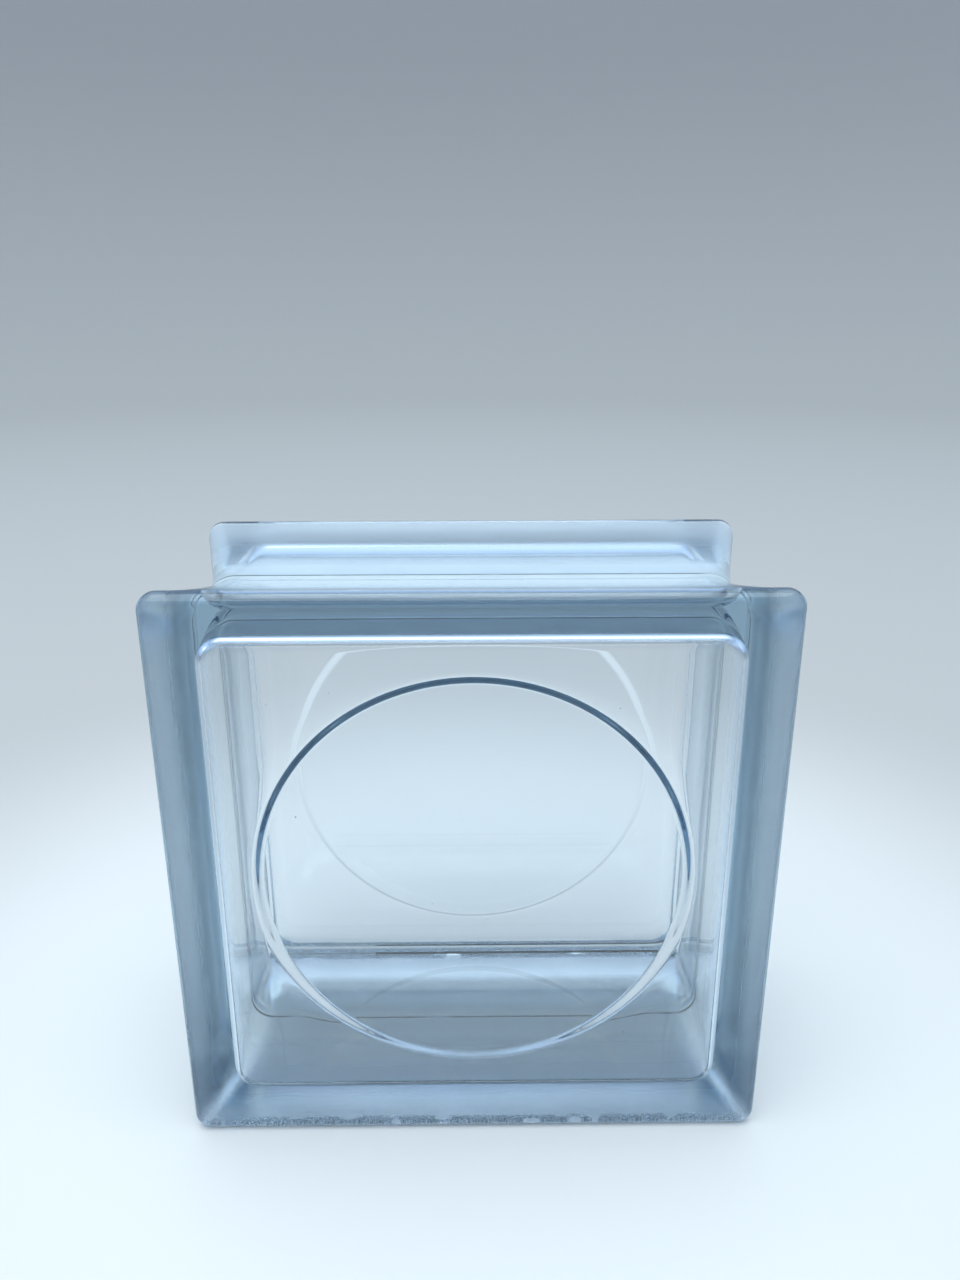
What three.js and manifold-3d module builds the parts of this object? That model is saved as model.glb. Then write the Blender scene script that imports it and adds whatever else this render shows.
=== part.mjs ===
// Glass block, 190 x 190 x 95 mm: two pressed shells of clear glass, fused rim to rim.
// Each shell has a flat face, a rounded rim, a side that curves down into the mortar groove,
// a hollow behind the face and a round plateau on the inside of the face.
// Millimetres, +Z up. The origin is the middle of the underside, the front faces -Y,
// and the two shells meet on the plane y = 0, which closes the hollow between them.

import * as THREE from 'three';
import { mergeVertices } from 'three/addons/utils/BufferGeometryUtils.js';
import Module from 'manifold-3d';

// ---- Driving dimensions ----------------------------------------------------------

const FACE_SIZE = 190;             // width and height of the block
const BLOCK_DEPTH = 95;            // from the front face to the back face
const RIM_CORNER_RADIUS = 5.6;     // corner of the square outline at the rim
const EDGE_RADIUS = 3.8;           // rounding between a face and the rim
const RIM_LAND = 1.4;              // flat width of the rim, behind its rounded edge

const GROOVE_DEPTH = 8.2;          // how far the side falls in from the rim to the seam
const GROOVE_FLATTENING = 1.55;    // 1 is a straight slope, and above it the slope eases inwards
const WAIST_CORNER_RADIUS = 10.5;  // corner of the outline at the bottom of the groove
const BEAD_HEIGHT = 0.5;           // glass squeezed out along the seam, in the groove
const BEAD_WIDTH = 2.6;            // across both shells

const PANE_THICKNESS = 6.5;        // the face outside the plateau
const RIM_WALL = 14.2;             // from the rim to the hollow, just behind the pane
const SEAM_WALL = 4.6;             // wall between groove and hollow, beside the bead
const HOLLOW_EDGE_RADIUS = 4.2;    // rounding between the pane and the hollow's side
const HOLLOW_CORNER_RADIUS = 8.5;  // corner of the hollow behind the pane
const SEAM_CORNER_RADIUS = 9;      // corner of the hollow at the seam
const SWELL_HEIGHT = 0.3;          // soft swelling of the wall along the seam, in the hollow
const SWELL_WIDTH = 5;             // across both shells

const PLATEAU_MARGIN = 11.6;       // from the hollow's side to the foot of the plateau
const PLATEAU_RISE = 2.3;          // from the pane to the plateau's flat middle
const PLATEAU_SLOPE_WIDTH = 3.6;   // its S-curved slope, seen from the front

// ---- Fineness of the curves --------------------------------------------------------

const CORNER_STEPS = 10;           // along each corner of a square outline
const EDGE_STEPS = 6;              // round the rim's edge and round the hollow's edge
const GROOVE_STEPS = 7;            // from the rim's land down to the foot of the bead
const SWELL_STEPS = 4;             // over a bead or a swelling, from its foot to the seam
const SLOPE_STEPS = 6;             // down the plateau's slope
const ROUND_STEPS = 120;           // round the plateau

// ---- Sizes that follow -------------------------------------------------------------

const HALF_FACE = FACE_SIZE / 2;
const SHELL_DEPTH = BLOCK_DEPTH / 2;
const WAIST = HALF_FACE - GROOVE_DEPTH;
const HOLLOW_AT_PANE = HALF_FACE - RIM_WALL;
const HOLLOW_AT_SEAM = WAIST - SEAM_WALL;
const PLATEAU_FOOT = HOLLOW_AT_PANE - PLATEAU_MARGIN;

const wasm = await Module();
wasm.setup();

// ---- Shapes ------------------------------------------------------------------------

// A rounded square in the XZ plane, counted anticlockwise from its right-hand side.
function roundedSquare({ half, corner, depth }) {
  const points = [];
  const reach = half - corner;
  for (let quarter = 0; quarter < 4; quarter += 1) {
    const start = quarter * Math.PI / 2;
    const across = Math.SQRT2 * reach * Math.cos(start + Math.PI / 4);
    const up = Math.SQRT2 * reach * Math.sin(start + Math.PI / 4);
    for (let step = 0; step <= CORNER_STEPS; step += 1) {
      const angle = start + (step / CORNER_STEPS) * Math.PI / 2;
      points.push(new THREE.Vector3(
        across + corner * Math.cos(angle),
        depth,
        up + corner * Math.sin(angle),
      ));
    }
  }
  return points;
}

// A closed skin through a row of rounded squares, with a flat cap on the first and the last.
function loft(outlines) {
  const rings = outlines.map(roundedSquare);
  const count = rings[0].length;
  const last = (rings.length - 1) * count;
  const vertices = rings.flat();
  const indices = [];
  for (let ring = 0; ring < rings.length - 1; ring += 1) {
    for (let side = 0; side < count; side += 1) {
      const a = ring * count + side;
      const b = ring * count + (side + 1) % count;
      indices.push(a, b + count, b);
      indices.push(a, a + count, b + count);
    }
  }
  const firstCentre = vertices.length;
  const lastCentre = firstCentre + 1;
  vertices.push(new THREE.Vector3(0, outlines.at(0).depth, 0));
  vertices.push(new THREE.Vector3(0, outlines.at(-1).depth, 0));
  for (let side = 0; side < count; side += 1) {
    const next = (side + 1) % count;
    indices.push(firstCentre, side, next);
    indices.push(lastCentre, last + next, last + side);
  }
  const geometry = new THREE.BufferGeometry().setFromPoints(vertices);
  geometry.setIndex(indices);
  return geometry;
}

function toSolid(geometry) {
  const bare = geometry.clone();
  bare.deleteAttribute('normal');
  bare.deleteAttribute('uv');
  const merged = mergeVertices(bare);
  return new wasm.Manifold(new wasm.Mesh({
    numProp: 3,
    vertProperties: new Float32Array(merged.attributes.position.array),
    triVerts: new Uint32Array(merged.index.array),
  }));
}

function toGeometry(solid) {
  const mesh = solid.getMesh();
  const geometry = new THREE.BufferGeometry();
  geometry.setAttribute('position', new THREE.BufferAttribute(mesh.vertProperties, mesh.numProp));
  geometry.setIndex(new THREE.BufferAttribute(mesh.triVerts, 1));
  geometry.computeVertexNormals();
  return geometry;
}

// ---- One shell, with its face at depth 0 and its seam at SHELL_DEPTH -----------------

// From the flat face over the rounded edge and the land, down the groove to its bead.
function outerOutlines() {
  const outlines = [];
  for (let step = 0; step <= EDGE_STEPS; step += 1) {
    const angle = (step / EDGE_STEPS) * Math.PI / 2;
    const inset = EDGE_RADIUS * (1 - Math.sin(angle));
    outlines.push({
      half: HALF_FACE - inset,
      corner: RIM_CORNER_RADIUS - inset,
      depth: EDGE_RADIUS * (1 - Math.cos(angle)),
    });
  }
  const landEnd = EDGE_RADIUS + RIM_LAND;
  const beadFoot = SHELL_DEPTH - BEAD_WIDTH / 2;
  for (let step = 0; step < GROOVE_STEPS; step += 1) {
    const along = step / GROOVE_STEPS;
    const fallen = 1 - (1 - along) ** GROOVE_FLATTENING;
    outlines.push({
      half: HALF_FACE - GROOVE_DEPTH * fallen,
      corner: THREE.MathUtils.lerp(RIM_CORNER_RADIUS, WAIST_CORNER_RADIUS, along),
      depth: THREE.MathUtils.lerp(landEnd, beadFoot, along),
    });
  }
  outlines.push(...swollenOutlines(WAIST, WAIST_CORNER_RADIUS, BEAD_HEIGHT, BEAD_WIDTH));
  return outlines;
}

// The last stretch up to the seam, where the wall swells out, or in, in a smooth curve.
function swollenOutlines(half, corner, height, width) {
  const outlines = [];
  for (let step = 0; step <= SWELL_STEPS; step += 1) {
    const along = step / SWELL_STEPS;
    const swell = height * (1 - Math.cos(along * Math.PI)) / 2;
    outlines.push({
      half: half + swell,
      corner: corner + swell,
      depth: SHELL_DEPTH - (1 - along) * width / 2,
    });
  }
  return outlines;
}

// From the seam down the side of the hollow and round its edge to the inside of the pane.
function innerOutlines() {
  const outlines = swollenOutlines(HOLLOW_AT_SEAM, SEAM_CORNER_RADIUS, -SWELL_HEIGHT, SWELL_WIDTH);
  outlines.reverse();
  for (let step = 0; step <= EDGE_STEPS; step += 1) {
    const angle = (step / EDGE_STEPS) * Math.PI / 2;
    const inset = HOLLOW_EDGE_RADIUS * (1 - Math.cos(angle));
    outlines.push({
      half: HOLLOW_AT_PANE - inset,
      corner: HOLLOW_CORNER_RADIUS - inset,
      depth: PANE_THICKNESS + HOLLOW_EDGE_RADIUS * (1 - Math.sin(angle)),
    });
  }
  return outlines;
}

// The plateau's slope, from its foot on the pane up to the flat middle, as one S-curve.
function plateauSlope() {
  const slope = [];
  for (let step = 0; step <= SLOPE_STEPS; step += 1) {
    const along = step / SLOPE_STEPS;
    const lift = PLATEAU_RISE * (1 - Math.cos(along * Math.PI)) / 2;
    slope.push(new THREE.Vector2(PLATEAU_FOOT - PLATEAU_SLOPE_WIDTH * along, PANE_THICKNESS + lift));
  }
  return slope;
}

// The plateau is turned about the face's own axis, and roots in the pane that carries it.
function plateau() {
  const root = PANE_THICKNESS / 2;
  const profile = [
    new THREE.Vector2(0, root),
    new THREE.Vector2(PLATEAU_FOOT, root),
    ...plateauSlope(),
    new THREE.Vector2(0, PANE_THICKNESS + PLATEAU_RISE),
  ];
  return new THREE.LatheGeometry(profile, ROUND_STEPS);
}

function shell() {
  const cup = toSolid(loft([...outerOutlines(), ...innerOutlines()]));
  return toGeometry(cup.add(toSolid(plateau())));
}

// ---- The block ---------------------------------------------------------------------

const glass = new THREE.MeshStandardMaterial({ color: 0x9fbccb, roughness: 0.04, metalness: 0 });

const frontHalf = new THREE.Mesh(shell(), glass);
frontHalf.name = 'front_half';
frontHalf.position.set(0, -SHELL_DEPTH, HALF_FACE);

const backHalf = new THREE.Mesh(shell(), glass);
backHalf.name = 'back_half';
backHalf.position.set(0, SHELL_DEPTH, HALF_FACE);
backHalf.rotation.z = Math.PI;

const block = new THREE.Group();
block.add(frontHalf, backHalf);

export default block;
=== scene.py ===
# A hollow glass building block on a pale studio floor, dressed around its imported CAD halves.
# Lengths are metres. The block's front faces -Y and it stands on z = 0.

import math

import bpy
from mathutils import Matrix, Vector


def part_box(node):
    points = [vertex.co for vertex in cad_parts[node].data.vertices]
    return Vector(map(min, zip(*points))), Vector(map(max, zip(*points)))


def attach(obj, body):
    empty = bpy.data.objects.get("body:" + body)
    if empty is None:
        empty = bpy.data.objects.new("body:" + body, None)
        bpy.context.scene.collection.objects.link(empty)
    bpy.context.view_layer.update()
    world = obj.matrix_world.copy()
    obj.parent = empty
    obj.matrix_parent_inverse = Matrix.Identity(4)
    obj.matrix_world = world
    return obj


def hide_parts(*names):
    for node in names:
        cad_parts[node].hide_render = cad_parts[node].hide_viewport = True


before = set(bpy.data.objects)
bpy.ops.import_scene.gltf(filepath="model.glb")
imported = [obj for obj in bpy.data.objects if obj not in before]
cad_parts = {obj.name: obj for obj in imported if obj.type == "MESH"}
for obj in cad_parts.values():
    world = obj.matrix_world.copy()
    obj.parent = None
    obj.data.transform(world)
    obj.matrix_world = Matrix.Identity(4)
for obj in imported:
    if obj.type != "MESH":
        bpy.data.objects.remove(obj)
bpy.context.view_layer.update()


# ---- The camera ----------------------------------------------------------------------
# A phone held a little above the block and close to its front face, so that the top
# side shows over the rim and the front face narrows towards the floor.

CAMERA_PLACE = Vector((-0.00046, -0.31996, 0.27313))
CAMERA_PITCH = math.radians(19.53)      # down from level
CAMERA_YAW = math.radians(0.54)         # towards +X
CAMERA_ROLL = math.radians(-0.14)
CAMERA_LENS = 28.78                     # millimetres, on a 36 mm high sensor

camera_data = bpy.data.cameras.new("studio_camera")
camera_data.lens = CAMERA_LENS
camera_data.clip_start = 0.01
camera = bpy.data.objects.new("studio_camera", camera_data)
heading = Matrix.Rotation(-CAMERA_YAW, 4, "Z")
tilt = Matrix.Rotation(math.pi / 2 - CAMERA_PITCH, 4, "X")
roll = Matrix.Rotation(CAMERA_ROLL, 4, "Z")
camera.matrix_world = Matrix.Translation(CAMERA_PLACE) @ heading @ tilt @ roll
bpy.context.scene.collection.objects.link(camera)
bpy.context.scene.camera = camera


# ---- The glass body ------------------------------------------------------------------
# Two pressed shells of clear glass, fused along a seam in the mortar groove into one piece
# round a sealed hollow. A shell is one section, lofted as a row of rounded squares from the
# middle of its outer face to the middle of the plateau inside, and the other is its mirror.

front_low, front_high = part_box("front_half")
back_low, back_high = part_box("back_half")
HALF_FACE = (front_high.x - front_low.x) / 2
SHELL_DEPTH = (back_high.y - front_low.y) / 2
MIDDLE_HEIGHT = (front_high.z + front_low.z) / 2

RIM_CORNER = 0.0056         # corner of the outline at the rim
EDGE_RADIUS = 0.0038        # rounding between a face and the rim
RIM_LAND = 0.0014           # flat width of the rim
GROOVE_DEPTH = 0.0082
GROOVE_FLATTENING = 1.55    # over 1, the groove's side eases towards the seam
WAIST_CORNER = 0.0105
LIP_HEIGHT = 0.0005         # the rounded lips that the two shells squeeze out at the seam
LIP_WIDTH = 0.0013
LIP_CREST = 0.75            # where a lip is highest, as a share of its width
NOTCH_DEPTH = 0.00045       # between the two lips
PANE = 0.0065               # thickness of the face outside the plateau
RIM_WALL = 0.0142           # from the rim to the hollow, behind the pane
SEAM_WALL = 0.0046          # between groove and hollow, beside the lips
HOLLOW_EDGE = 0.0042        # rounding between the pane and the hollow's side
HOLLOW_CORNER = 0.0085
SEAM_CORNER = 0.0090
SWELL_HEIGHT = 0.0003       # soft swelling of the wall along the seam, in the hollow
SWELL_WIDTH = 0.0025        # on each shell
PLATEAU_MARGIN = 0.0116     # from the hollow's side to the foot of the plateau
PLATEAU_RISE = 0.0023
PLATEAU_SLOPE = 0.0036      # width of its S-curved slope
PLATEAU_WAVE = 0.5          # share of the pressing's soft waves that the plateau shows
SUPPORT = 0.0003            # a row this close beside a rounding keeps the flat next to it flat
FACE_ROWS = 8               # rows of the section on each stretch, from here on
EDGE_ROWS = 8
GROOVE_ROWS = 20
GROOVE_CROWDING = 1.3       # over 1, the groove's rows crowd towards the rim
LIP_ROWS = 12
SWELL_ROWS = 8
WALL_ROWS = 16
HOLLOW_EDGE_ROWS = 10
PANE_ROWS = 6
SLOPE_ROWS = 16
CREST_ROWS = 10

waist = HALF_FACE - GROOVE_DEPTH
hollow_at_pane = HALF_FACE - RIM_WALL
hollow_at_seam = waist - SEAM_WALL
plateau_foot = hollow_at_pane - PLATEAU_MARGIN
plateau_crest = plateau_foot - PLATEAU_SLOPE

section = []


def shares(steps):
    """Even shares of a stretch, from 0 to 1."""
    return [step / steps for step in range(steps + 1)]


def add_row(half, depth, corner, roundness=0.0, groove_way=0.0, wave=0.0):
    """One row of the section: a rounded square, or a circle where the roundness is 1.
    The groove's way runs from 0 at the rim to 1 beside the seam and 2 in the notch."""
    section.append({
        "half": half, "depth": depth, "corner": corner,
        "roundness": roundness, "groove_way": groove_way, "wave": wave,
    })


# The outside, from the middle of the face to the seam.
face_flat = HALF_FACE - EDGE_RADIUS
for share in shares(FACE_ROWS):
    add_row((face_flat - SUPPORT) * share, 0, (RIM_CORNER - EDGE_RADIUS) * share)
for share in shares(EDGE_ROWS):
    angle = share * math.pi / 2
    inset = EDGE_RADIUS * (1 - math.sin(angle))
    add_row(HALF_FACE - inset, EDGE_RADIUS * (1 - math.cos(angle)), RIM_CORNER - inset)
land_end = EDGE_RADIUS + RIM_LAND
add_row(HALF_FACE, EDGE_RADIUS + SUPPORT, RIM_CORNER)
add_row(HALF_FACE, land_end - SUPPORT, RIM_CORNER)
lip_foot = SHELL_DEPTH - LIP_WIDTH
for share in shares(GROOVE_ROWS):
    along = share ** GROOVE_CROWDING
    drop = GROOVE_DEPTH * (1 - (1 - along) ** GROOVE_FLATTENING)
    corner = RIM_CORNER + (WAIST_CORNER - RIM_CORNER) * along
    depth = land_end + (lip_foot - land_end) * along
    add_row(HALF_FACE - drop, depth, corner, groove_way=along, wave=along)
for along in shares(LIP_ROWS)[1:]:
    if along < LIP_CREST:
        swell = LIP_HEIGHT * (1 - math.cos(along / LIP_CREST * math.pi)) / 2
    else:
        past = (along - LIP_CREST) / (1 - LIP_CREST)
        swell = LIP_HEIGHT - NOTCH_DEPTH * (1 - math.sqrt(1 - past ** 2))
    add_row(waist + swell, lip_foot + LIP_WIDTH * along, WAIST_CORNER + swell,
            groove_way=1 + along ** 4, wave=1)

# The hollow, from the seam to the middle of the plateau.
for share in shares(SWELL_ROWS):
    along = 1 - share
    swell = SWELL_HEIGHT * (1 - math.cos(along * math.pi)) / 2
    depth = SHELL_DEPTH - SWELL_WIDTH * (1 - along)
    add_row(hollow_at_seam - swell, depth, SEAM_CORNER, wave=1)
swell_foot = SHELL_DEPTH - SWELL_WIDTH
wall_start = PANE + HOLLOW_EDGE + SUPPORT
for along in shares(WALL_ROWS)[1:]:
    half = hollow_at_seam + (hollow_at_pane - hollow_at_seam) * along
    corner = SEAM_CORNER + (HOLLOW_CORNER - SEAM_CORNER) * along
    add_row(half, swell_foot + (wall_start - swell_foot) * along, corner, wave=1)
for share in shares(HOLLOW_EDGE_ROWS):
    angle = share * math.pi / 2
    inset = HOLLOW_EDGE * (1 - math.cos(angle))
    depth = PANE + HOLLOW_EDGE * (1 - math.sin(angle))
    add_row(hollow_at_pane - inset, depth, HOLLOW_CORNER - inset, wave=1)
pane_flat = hollow_at_pane - HOLLOW_EDGE - SUPPORT
pane_corner = HOLLOW_CORNER - HOLLOW_EDGE
for share in shares(PANE_ROWS):
    half = pane_flat + (plateau_foot + SUPPORT - pane_flat) * share
    add_row(half, PANE, pane_corner * (1 - share), roundness=share, wave=1)
for share in shares(SLOPE_ROWS):
    lift = PLATEAU_RISE * (1 - math.cos(share * math.pi)) / 2
    half = plateau_foot - PLATEAU_SLOPE * share
    add_row(half, PANE + lift, 0, roundness=1, wave=PLATEAU_WAVE)
for share in shares(CREST_ROWS):
    half = (plateau_crest - SUPPORT) * (1 - share)
    add_row(half, PANE + PLATEAU_RISE, 0, roundness=1, wave=PLATEAU_WAVE)

section_mesh = bpy.data.meshes.new("shell_section")
section_mesh.from_pydata([(0, 0, 0)] * len(section), [], [])
for name in section[0]:
    values = section_mesh.attributes.new(name, "FLOAT", "POINT")
    values.data.foreach_set("value", [row[name] for row in section])
glass_body = bpy.data.objects.new("glass_body", section_mesh)
bpy.context.scene.collection.objects.link(glass_body)

press = bpy.data.node_groups.new("press_and_fuse", "GeometryNodeTree")
press.is_modifier = True
press.interface.new_socket("Geometry", in_out="OUTPUT", socket_type="NodeSocketGeometry")
press.interface.new_socket("Geometry", in_out="INPUT", socket_type="NodeSocketGeometry")
PRESS_SIZES = {
    "Side Steps": 48,               # columns along each straight side
    "Corner Steps": 16,             # columns round each corner
    "Shell Depth": SHELL_DEPTH,
    "Middle Height": MIDDLE_HEIGHT,
    "Seam Drift": 0.00025,          # how far the seam wanders to the front or back
    "Seam Drift Scale": 22.0,       # waves to the metre
    "Seam Reach": 0.006,            # how far beside the seam the glass wanders with it
    "Waviness": 0.00015,            # depth of the soft waves that pressing leaves
    "Wave Scale": 8.0,
    "Bubbles": 26,
    "Bubble Size": 0.00028,
    "Seed": 4,
}
for name, value in PRESS_SIZES.items():
    kind = "NodeSocketInt" if isinstance(value, int) else "NodeSocketFloat"
    press.interface.new_socket(name, in_out="INPUT", socket_type=kind)
press.interface.new_socket("Glass", in_out="INPUT", socket_type="NodeSocketMaterial")
given = press.nodes.new("NodeGroupInput").outputs


def feed(socket, value):
    """Links an input of the press tree to another node's output, or sets it."""
    if isinstance(value, bpy.types.NodeSocket):
        press.links.new(value, socket)
    else:
        socket.default_value = value


def step_node(kind, settings=None, **inputs):
    """Adds a node to the press tree. An input is named with _ for a space, and set or linked."""
    node = press.nodes.new(kind)
    for name, value in (settings or {}).items():
        setattr(node, name, value)
    for name, value in inputs.items():
        feed(node.inputs[name.replace("_", " ")], value)
    return node


def calc(operation, *values):
    """One line of arithmetic in the press tree."""
    node = press.nodes.new("ShaderNodeMath")
    node.operation = operation
    for socket, value in zip(node.inputs, values):
        feed(socket, value)
    return node.outputs[0]


def from_section(name, row):
    """A value of the section at a row."""
    value = step_node("GeometryNodeInputNamedAttribute", {"data_type": "FLOAT"}, Name=name)
    sample = step_node("GeometryNodeSampleIndex", {"data_type": "FLOAT", "domain": "POINT"},
                       Geometry=given["Geometry"], Value=value.outputs["Attribute"], Index=row)
    return sample.outputs["Value"]


# Loft: every row of the section becomes a ring of columns, a rounded square or a circle.
rows = step_node("GeometryNodeAttributeDomainSize", Geometry=given["Geometry"]).outputs["Point Count"]
quarter_steps = calc("ADD", given["Side Steps"], given["Corner Steps"])
columns = calc("ADD", calc("MULTIPLY", quarter_steps, 4), 1)
sheet = step_node("GeometryNodeMeshGrid", Vertices_X=rows, Vertices_Y=columns).outputs["Mesh"]
index = press.nodes.new("GeometryNodeInputIndex").outputs["Index"]
row = calc("FLOOR", calc("DIVIDE", index, columns))
column = calc("MODULO", index, columns)
quarter = calc("FLOOR", calc("DIVIDE", column, quarter_steps))
quarter_way = calc("MODULO", column, quarter_steps)
half_side = calc("DIVIDE", given["Side Steps"], 2)
start_side = calc("MINIMUM", calc("DIVIDE", quarter_way, half_side), 1)
end_side = calc("MINIMUM", calc("DIVIDE", calc("SUBTRACT", quarter_steps, quarter_way), half_side), 1)
round_corner = calc("DIVIDE", calc("SUBTRACT", quarter_way, half_side), given["Corner Steps"])
corner_angle = calc("MULTIPLY", calc("MINIMUM", calc("MAXIMUM", round_corner, 0), 1), math.pi / 2)
circle_angle = calc("MULTIPLY", calc("DIVIDE", quarter_way, quarter_steps), math.pi / 2)
radius = from_section("half", row)
rounding = from_section("corner", row)
reach = calc("SUBTRACT", radius, rounding)
square_x = calc("MULTIPLY_ADD", reach, end_side, calc("MULTIPLY", rounding, calc("COSINE", corner_angle)))
square_z = calc("MULTIPLY_ADD", reach, start_side, calc("MULTIPLY", rounding, calc("SINE", corner_angle)))
square = step_node("ShaderNodeCombineXYZ", X=square_x, Z=square_z).outputs["Vector"]
circle_x = calc("MULTIPLY", radius, calc("COSINE", circle_angle))
circle_z = calc("MULTIPLY", radius, calc("SINE", circle_angle))
circle = step_node("ShaderNodeCombineXYZ", X=circle_x, Z=circle_z).outputs["Vector"]
ring = step_node("ShaderNodeMix", {"data_type": "VECTOR"})
press.links.new(from_section("roundness", row), ring.inputs[0])
press.links.new(square, ring.inputs[4])
press.links.new(circle, ring.inputs[5])
turned = step_node("ShaderNodeVectorRotate", {"rotation_type": "Y_AXIS"},
                   Vector=ring.outputs[1], Angle=calc("MULTIPLY", quarter, -math.pi / 2))
from_seam = calc("SUBTRACT", from_section("depth", row), given["Shell Depth"])
pushed_out = step_node("ShaderNodeCombineXYZ", Y=from_seam)
place = step_node("ShaderNodeVectorMath", {"operation": "ADD"})
press.links.new(turned.outputs["Vector"], place.inputs[0])
press.links.new(pushed_out.outputs["Vector"], place.inputs[1])
for name in ("groove_way", "wave"):
    stored = step_node("GeometryNodeStoreNamedAttribute", {"data_type": "FLOAT", "domain": "POINT"},
                       Geometry=sheet, Name=name, Value=from_section(name, row))
    sheet = stored.outputs["Geometry"]
cup = step_node("GeometryNodeSetPosition", Geometry=sheet, Position=place.outputs["Vector"])

# Fuse: the shell's flat end melts away, and the mirrored shell joins there.
MERGE_REACH = 1e-6
position = press.nodes.new("GeometryNodeInputPosition").outputs["Position"]
parts = step_node("ShaderNodeSeparateXYZ", Vector=position).outputs
at_seam = calc("LESS_THAN", calc("ABSOLUTE", parts["Y"]), MERGE_REACH)
shell = step_node("GeometryNodeDeleteGeometry", {"domain": "FACE"},
                  Geometry=cup.outputs["Geometry"], Selection=at_seam).outputs["Geometry"]
mirrored = step_node("GeometryNodeTransform", Geometry=shell, Scale=(1, -1, 1))
other = step_node("GeometryNodeFlipFaces", Mesh=mirrored.outputs["Geometry"])
both = step_node("GeometryNodeJoinGeometry")
press.links.new(other.outputs["Mesh"], both.inputs["Geometry"])
press.links.new(shell, both.inputs["Geometry"])
fused = step_node("GeometryNodeMergeByDistance", Geometry=both.outputs["Geometry"], Distance=MERGE_REACH)

# The seam wanders a little, less inside, and pressing leaves soft waves in every skin but
# the faces'.
INNER_DRIFT = 0.2           # share of the wandering that shows in the hollow
wander = step_node("ShaderNodeTexNoise", {"noise_dimensions": "3D"},
                   Scale=given["Seam Drift Scale"], Detail=1.0).outputs["Fac"]
nearness = calc("MAXIMUM", calc("SUBTRACT", 1, calc("DIVIDE", calc("ABSOLUTE", parts["Y"]),
                                                     given["Seam Reach"])), 0)
drift = calc("MULTIPLY", calc("MULTIPLY", calc("SUBTRACT", wander, 0.5), 2), given["Seam Drift"])
outside = step_node("GeometryNodeInputNamedAttribute", {"data_type": "FLOAT"}, Name="groove_way")
side_share = calc("MINIMUM", calc("ADD", outside.outputs["Attribute"], INNER_DRIFT), 1)
drift = calc("MULTIPLY", drift, calc("MULTIPLY", nearness, side_share))
drifted = step_node("GeometryNodeSetPosition", Geometry=fused.outputs["Geometry"],
                    Offset=step_node("ShaderNodeCombineXYZ", Y=drift).outputs["Vector"])
ripple = step_node("ShaderNodeTexNoise", {"noise_dimensions": "3D"},
                   Scale=given["Wave Scale"], Detail=0.0).outputs["Fac"]
wave = step_node("GeometryNodeInputNamedAttribute", {"data_type": "FLOAT"}, Name="wave")
inward = calc("MULTIPLY", calc("MULTIPLY", ripple, given["Waviness"]),
              calc("MULTIPLY", wave.outputs["Attribute"], -1))
normal = press.nodes.new("GeometryNodeInputNormal").outputs["Normal"]
push = step_node("ShaderNodeVectorMath", {"operation": "SCALE"}, Scale=inward)
press.links.new(normal, push.inputs[0])
waved = step_node("GeometryNodeSetPosition", Geometry=drifted.outputs["Geometry"],
                  Offset=push.outputs["Vector"])

# Small bubbles of air stay in the two panes. A random value's limits are found by number,
# because each of its kinds has a Min and a Max of its own.
BUBBLE_REACH = 0.070                    # from the pane's middle, to each side
BUBBLE_COVER = (0.0048, 0.0018)         # deepest and shallowest, under the pane's outer face
BUBBLE_SPREAD = (0.35, 1.0)             # smallest and largest, as shares of the bubble size
seeds = step_node("GeometryNodePoints", Count=given["Bubbles"])
spot = step_node("FunctionNodeRandomValue", {"data_type": "FLOAT_VECTOR"}, Seed=given["Seed"])
spot.inputs[0].default_value = (-BUBBLE_REACH, SHELL_DEPTH - BUBBLE_COVER[0], -BUBBLE_REACH)
spot.inputs[1].default_value = (BUBBLE_REACH, SHELL_DEPTH - BUBBLE_COVER[1], BUBBLE_REACH)
side = step_node("FunctionNodeRandomValue", {"data_type": "INT"}, Seed=calc("ADD", given["Seed"], 1))
side.inputs[4].default_value = 0
side.inputs[5].default_value = 1
pane_side = calc("MULTIPLY_ADD", side.outputs[2], 2, -1)
flipped = step_node("ShaderNodeCombineXYZ", X=1.0, Y=pane_side, Z=1.0)
spot_place = step_node("ShaderNodeVectorMath", {"operation": "MULTIPLY"})
press.links.new(spot.outputs[0], spot_place.inputs[0])
press.links.new(flipped.outputs["Vector"], spot_place.inputs[1])
press.links.new(spot_place.outputs["Vector"], seeds.inputs["Position"])
size = step_node("FunctionNodeRandomValue", {"data_type": "FLOAT"}, Seed=calc("ADD", given["Seed"], 2))
size.inputs[2].default_value = BUBBLE_SPREAD[0]
size.inputs[3].default_value = BUBBLE_SPREAD[1]
ball = step_node("GeometryNodeMeshIcoSphere", Radius=given["Bubble Size"], Subdivisions=3)
void = step_node("GeometryNodeFlipFaces", Mesh=ball.outputs["Mesh"])
bubbles = step_node("GeometryNodeInstanceOnPoints", Points=seeds.outputs["Geometry"],
                    Instance=void.outputs["Mesh"], Scale=size.outputs[1])
whole = step_node("GeometryNodeJoinGeometry")
press.links.new(bubbles.outputs["Instances"], whole.inputs["Geometry"])
press.links.new(waved.outputs["Geometry"], whole.inputs["Geometry"])
raised = step_node("GeometryNodeTransform", Geometry=whole.outputs["Geometry"])
height = step_node("ShaderNodeCombineXYZ", Z=given["Middle Height"])
press.links.new(height.outputs["Vector"], raised.inputs["Translation"])
smooth = step_node("GeometryNodeSetShadeSmooth", Geometry=raised.outputs["Geometry"])
real = step_node("GeometryNodeRealizeInstances", Geometry=smooth.outputs["Geometry"])
finished = step_node("GeometryNodeSetMaterial", Geometry=real.outputs["Geometry"],
                     Material=given["Glass"])
result = press.nodes.new("NodeGroupOutput")
press.links.new(finished.outputs["Geometry"], result.inputs["Geometry"])

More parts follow.
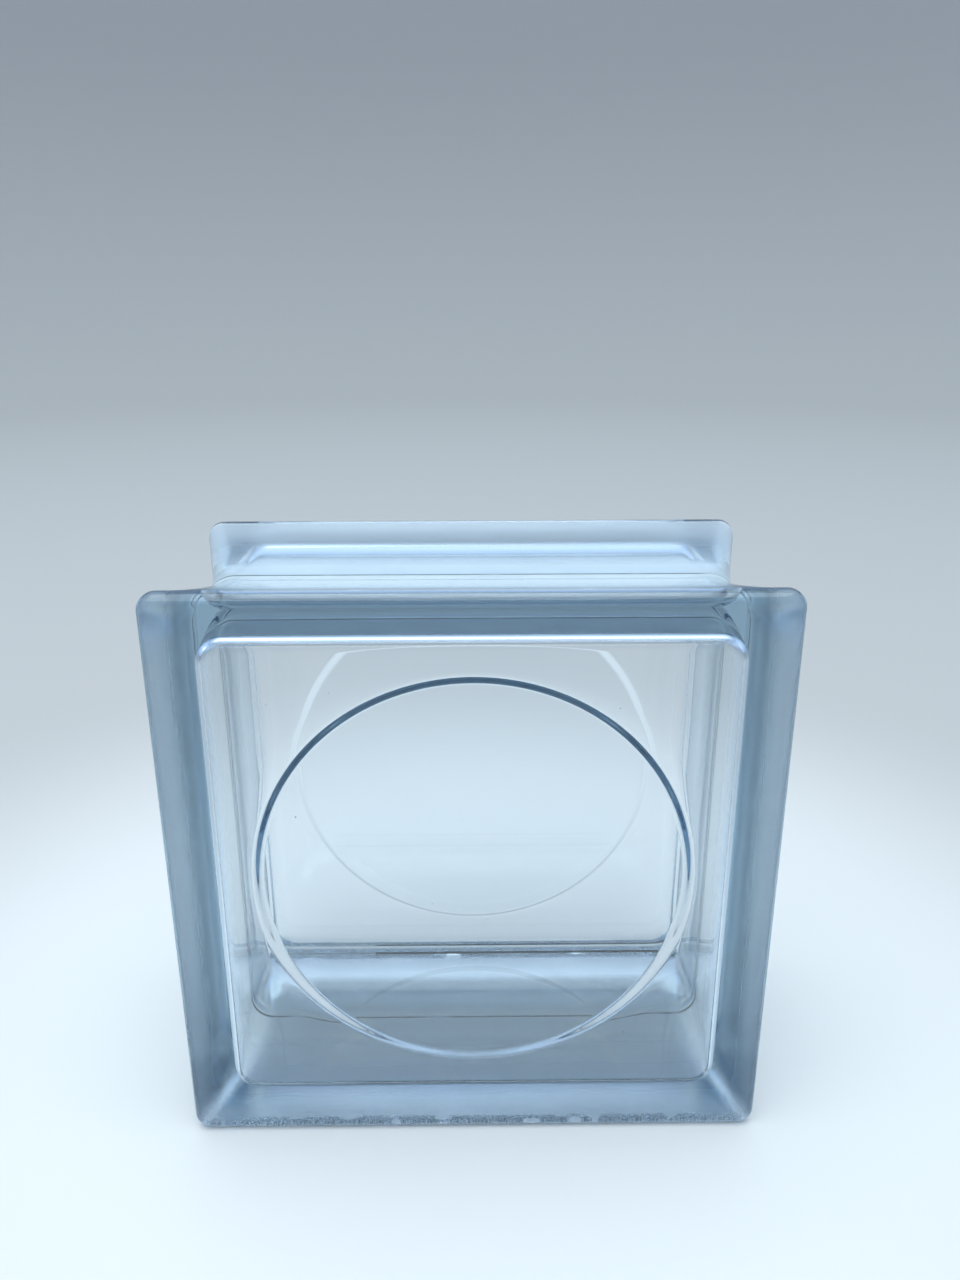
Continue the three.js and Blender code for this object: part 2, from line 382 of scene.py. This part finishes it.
GLASS_IOR = 1.52
ABSORPTION = 13.0                       # per metre, times one less the colour
GLASS_TINT = (0.24, 0.52, 0.68, 1)
COAT_COLOUR = (0.68, 0.83, 1.0, 1)      # the sides' satin skin, which mortar sticks to
THICK_COLOUR = (0.84, 0.96, 1.0, 1)     # milkier beside the seam
COAT_TRANSMISSION = 0.60                # beside the seam; at the rim all the light goes through
COAT_THICKENS = (0.35, 0.80)            # from thin to thickest, as shares of the groove's way
RIM_ROUGHNESS = 0.50
SEAM_ROUGHNESS = 0.15
COAT_SMOOTHS = (0.15, 0.60)             # from the one roughness to the other
COAT_EDGE = (0.010, 0.035)              # where it starts, as a share of the groove's way
GROOVE_START = 0.001                    # a share of the groove's way this small is off the groove
EDGE_RAGGEDNESS = 0.01
RAGGED_SCALE = 260.0                    # waves to the metre, as are the scales below
CLOUD_SCALE = 35.0
CLOUD_RANGE = (0.3, 0.7)                # of the noise, from the thinnest clouds to the thickest
CLOUD_DEPTH = 0.12                      # share of the skin that the thinnest clouds lack
GRAIN_SCALE = 2600.0
GRAIN_DEPTH = 0.00001
SEAM_SHADE_COLOUR = (0.05, 0.08, 0.09, 1)   # painted shade, darkening the seam's notch where the lips shadow it
SEAM_SHADE_EDGE = (1.02, 1.30)              # it starts on the lips' flanks and is full from their crests
SEAM_SHADE_SCALE = 70.0
SEAM_SHADE_PATCHES = (0.15, 0.45)           # of the noise, from no painted shade to the most
SEAM_SHADE_TRANSMISSION = 0.3
WEAR_HEIGHT = 0.0015                    # how far up the standing edges are scuffed
WEAR_FULL_HEIGHT = 0.0005               # below this they are scuffed most
WEAR_SCALE = 110.0
WEAR_PATCHES = (0.34, 0.42)             # of the noise, from no wear to the most
WEAR_ROUGHNESS = 0.02
WEAR_TRANSMISSION = 0.85
NICK_SCALE = 1100.0
NICK_DEPTH = 0.0012

glass = bpy.data.materials.new("clear_pressed_glass")
glass.use_nodes = True
nodes = glass.node_tree.nodes
links = glass.node_tree.links
surface = nodes["Principled BSDF"]
surface.inputs["IOR"].default_value = GLASS_IOR
place = nodes.new("ShaderNodeTexCoord").outputs["Object"]
stored_way = nodes.new("ShaderNodeAttribute")
stored_way.attribute_name = "groove_way"
way = stored_way.outputs["Fac"]


def noise_at(scale, detail=1.0):
    """Noise on the block's own coordinates, from 0 to 1."""
    node = nodes.new("ShaderNodeTexNoise")
    node.inputs["Scale"].default_value = scale
    node.inputs["Detail"].default_value = detail
    links.new(place, node.inputs["Vector"])
    return node.outputs["Fac"]


def ramp(value, start, end, low=0.0, high=1.0):
    """Low up to the start, high from the end on."""
    node = nodes.new("ShaderNodeMapRange")
    for name, number in (("From Min", start), ("From Max", end), ("To Min", low), ("To Max", high)):
        node.inputs[name].default_value = number
    links.new(value, node.inputs["Value"])
    return node.outputs["Result"]


def times(value, other):
    """The product of two values."""
    node = nodes.new("ShaderNodeMath")
    node.operation = "MULTIPLY"
    links.new(value, node.inputs[0])
    links.new(other, node.inputs[1])
    return node.outputs["Value"]


def down_to(least, share):
    """From 1 where the share is 0 down to the least where it is 1."""
    return ramp(share, 0.0, 1.0, 1.0, least)


def tinted(share, base, colour):
    """The base colour, turned to another by a share."""
    node = nodes.new("ShaderNodeMix")
    node.data_type = "RGBA"
    node.inputs["B"].default_value = colour
    links.new(share, node.inputs["Factor"])
    if isinstance(base, tuple):
        node.inputs["A"].default_value = base
    else:
        links.new(base, node.inputs["A"])
    return node.outputs["Result"]


# The satin skin starts in a ragged line at the rim. It gets smoother, thicker and milkier
# towards the seam, where shade is painted dark into the notch between the lips.
ragged = nodes.new("ShaderNodeMath")
ragged.operation = "MULTIPLY_ADD"
links.new(noise_at(RAGGED_SCALE), ragged.inputs[0])
ragged.inputs[1].default_value = -EDGE_RAGGEDNESS
links.new(way, ragged.inputs[2])
edge_start, edge_end = [edge - EDGE_RAGGEDNESS / 2 for edge in COAT_EDGE]
cover = times(ramp(ragged.outputs["Value"], edge_start, edge_end), ramp(way, 0.0, GROOVE_START))
clouds = ramp(noise_at(CLOUD_SCALE), *CLOUD_RANGE, 1 - CLOUD_DEPTH, 1.0)
coat = times(cover, clouds)
thick = times(coat, ramp(way, *COAT_THICKENS))
# Painted shade: a dark colour in patches along the seam's notch, standing in for the shadow between the
# lips.
painted_seam_shade = times(ramp(way, *SEAM_SHADE_EDGE), ramp(noise_at(SEAM_SHADE_SCALE), *SEAM_SHADE_PATCHES))

# The edges that the block stands on are nicked and scuffed in places.
split = nodes.new("ShaderNodeSeparateXYZ")
links.new(place, split.inputs["Vector"])
low_edge = ramp(split.outputs["Z"], WEAR_HEIGHT, WEAR_FULL_HEIGHT)
wear = times(low_edge, ramp(noise_at(WEAR_SCALE), *WEAR_PATCHES))

satin = times(coat, ramp(way, *COAT_SMOOTHS, RIM_ROUGHNESS, SEAM_ROUGHNESS))
rough = nodes.new("ShaderNodeMath")
rough.operation = "MAXIMUM"
links.new(satin, rough.inputs[0])
links.new(ramp(wear, 0.0, 1.0, 0.0, WEAR_ROUGHNESS), rough.inputs[1])
links.new(rough.outputs["Value"], surface.inputs["Roughness"])
# The painted seam shade also lets less light through the skin.
clear = times(down_to(COAT_TRANSMISSION, thick), down_to(SEAM_SHADE_TRANSMISSION, painted_seam_shade))
clear = times(clear, down_to(WEAR_TRANSMISSION, wear))
links.new(clear, surface.inputs["Transmission Weight"])
skin = tinted(thick, tinted(coat, (1, 1, 1, 1), COAT_COLOUR), THICK_COLOUR)
# The painted seam shade darkens the skin's colour along the notch.
links.new(tinted(painted_seam_shade, skin, SEAM_SHADE_COLOUR), surface.inputs["Base Color"])
relief = None
for depth, share, height in (
    (GRAIN_DEPTH, cover, noise_at(GRAIN_SCALE, 0.0)),
    (NICK_DEPTH, wear, noise_at(NICK_SCALE)),
):
    bump = nodes.new("ShaderNodeBump")
    bump.inputs["Distance"].default_value = depth
    links.new(share, bump.inputs["Strength"])
    links.new(height, bump.inputs["Height"])
    if relief:
        links.new(relief.outputs["Normal"], bump.inputs["Normal"])
    relief = bump
links.new(relief.outputs["Normal"], surface.inputs["Normal"])
depth_tint = nodes.new("ShaderNodeVolumeAbsorption")
depth_tint.inputs["Color"].default_value = GLASS_TINT
depth_tint.inputs["Density"].default_value = ABSORPTION
links.new(depth_tint.outputs["Volume"], nodes["Material Output"].inputs["Volume"])

pressing = glass_body.modifiers.new("pressing", "NODES")
pressing.node_group = press
for socket in press.interface.items_tree:
    if socket.in_out == "INPUT" and socket.name in PRESS_SIZES:
        pressing[socket.identifier] = PRESS_SIZES[socket.name]
    if socket.name == "Glass":
        pressing[socket.identifier] = glass
bpy.context.view_layer.update()
scene_graph = bpy.context.evaluated_depsgraph_get()
glass_mesh = bpy.data.meshes.new_from_object(glass_body.evaluated_get(scene_graph))
glass_mesh.name = "glass_body"
glass_mesh.materials.pop(index=0)       # the empty slot that the bare section brings along
glass_body.modifiers.remove(pressing)
glass_body.data = glass_mesh

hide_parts("front_half", "back_half")
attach(glass_body, "root")


# ---- The studio ----------------------------------------------------------------------
# A pale floor that turns up all round into a low wall, with a pool of light painted round the
# block: the floor's colour is palest there and darkens outwards. A soft sky stands over it,
# blue low down and brightest overhead, with one wide soft box above.

FLOOR_RADIUS = 3.0
FLOOR_TURN = 0.9                        # radius of the turn from floor to wall
WALL_TOP = 1.05
# Painted light: the floor's own colour is palest round the block, as if lit there, and fades to the wall's
# colour further out.
FLOOR_POOL_COLOUR = (0.74, 0.73, 0.71, 1)
WALL_COLOUR = (0.46, 0.445, 0.43, 1)
FADE_START = 0.05                       # distance from the middle where the painted pool of light starts to fade
FADE_END = 0.45
FLOOR_ROUGHNESS = 0.8
FLOOR_SHEEN = 0.2
FLOOR_SIDES = 96
TURN_STEPS = 12

profile = [(0.0, 0.0), (FLOOR_RADIUS - FLOOR_TURN, 0.0)]
for share in shares(TURN_STEPS)[1:]:
    angle = share * math.pi / 2
    profile.append((FLOOR_RADIUS - FLOOR_TURN * (1 - math.sin(angle)), FLOOR_TURN * (1 - math.cos(angle))))
profile.append((FLOOR_RADIUS, WALL_TOP))
corners = [(0, 0, 0)]
for radius, height in profile[1:]:
    for side in range(FLOOR_SIDES):
        angle = side / FLOOR_SIDES * 2 * math.pi
        corners.append((radius * math.cos(angle), radius * math.sin(angle), height))
faces = [(0, 1 + side, 1 + (side + 1) % FLOOR_SIDES) for side in range(FLOOR_SIDES)]
for ring in range(len(profile) - 2):
    first = 1 + ring * FLOOR_SIDES
    for side in range(FLOOR_SIDES):
        after = (side + 1) % FLOOR_SIDES
        faces.append((first + side, first + FLOOR_SIDES + side, first + FLOOR_SIDES + after, first + after))
floor_mesh = bpy.data.meshes.new("studio_floor")
floor_mesh.from_pydata(corners, [], faces)
floor_mesh.shade_smooth()
floor = bpy.data.objects.new("studio_floor", floor_mesh)
bpy.context.scene.collection.objects.link(floor)
floor_paint = bpy.data.materials.new("floor_paint")
floor_paint.use_nodes = True
nodes = floor_paint.node_tree.nodes
links = floor_paint.node_tree.links
matt = nodes["Principled BSDF"]
reach = nodes.new("ShaderNodeVectorMath")
reach.operation = "LENGTH"
links.new(nodes.new("ShaderNodeTexCoord").outputs["Object"], reach.inputs[0])
painted_light_fade = nodes.new("ShaderNodeMapRange")
painted_light_fade.interpolation_type = "SMOOTHERSTEP"
painted_light_fade.inputs["From Min"].default_value = FADE_START
painted_light_fade.inputs["From Max"].default_value = FADE_END
links.new(reach.outputs["Value"], painted_light_fade.inputs["Value"])
# Painted light: a pool of light painted round the block, fading outwards.
paint = nodes.new("ShaderNodeMix")
paint.data_type = "RGBA"
paint.inputs["A"].default_value = FLOOR_POOL_COLOUR
paint.inputs["B"].default_value = WALL_COLOUR
links.new(painted_light_fade.outputs["Result"], paint.inputs["Factor"])
links.new(paint.outputs["Result"], matt.inputs["Base Color"])
matt.inputs["Roughness"].default_value = FLOOR_ROUGHNESS
matt.inputs["Specular IOR Level"].default_value = FLOOR_SHEEN
floor_mesh.materials.append(floor_paint)

SKY = (                                 # height of the direction, and the light from there
    (0.28, (0.44, 0.58, 0.84, 1)),
    (0.55, (0.60, 0.80, 1.12, 1)),
    (0.85, (1.05, 1.24, 1.32, 1)),
)
SKY_STRENGTH = 1.0

world = bpy.data.worlds.new("studio_sky")
bpy.context.scene.world = world
world.use_nodes = True
nodes = world.node_tree.nodes
links = world.node_tree.links
direction = nodes.new("ShaderNodeTexCoord")
split = nodes.new("ShaderNodeSeparateXYZ")
links.new(direction.outputs["Generated"], split.inputs["Vector"])
tone = nodes.new("ShaderNodeValToRGB")
links.new(split.outputs["Z"], tone.inputs["Fac"])
tone.color_ramp.elements.new(0.5)
for element, (height, colour) in zip(tone.color_ramp.elements, SKY):
    element.position = height
    element.color = colour
links.new(tone.outputs["Color"], nodes["Background"].inputs["Color"])
nodes["Background"].inputs["Strength"].default_value = SKY_STRENGTH

BOX_PLACE = Vector((-0.2, -0.4, 1.8))
BOX_AIM = Vector((0, 0, 0.1))
BOX_SIZE = 2.0
BOX_COLOUR = (0.88, 0.95, 1.0)
BOX_POWER = 26.0

box_data = bpy.data.lights.new("soft_box", "AREA")
box_data.shape = "SQUARE"
box_data.size = BOX_SIZE
box_data.energy = BOX_POWER
box_data.color = BOX_COLOUR
soft_box = bpy.data.objects.new("soft_box", box_data)
aim = (BOX_AIM - BOX_PLACE).to_track_quat("-Z", "Y")
soft_box.matrix_world = Matrix.Translation(BOX_PLACE) @ aim.to_matrix().to_4x4()
bpy.context.scene.collection.objects.link(soft_box)

scene = bpy.context.scene
scene.view_settings.view_transform = "Standard"
scene.cycles.max_bounces = 22
scene.cycles.transmission_bounces = 22
scene.cycles.glossy_bounces = 12
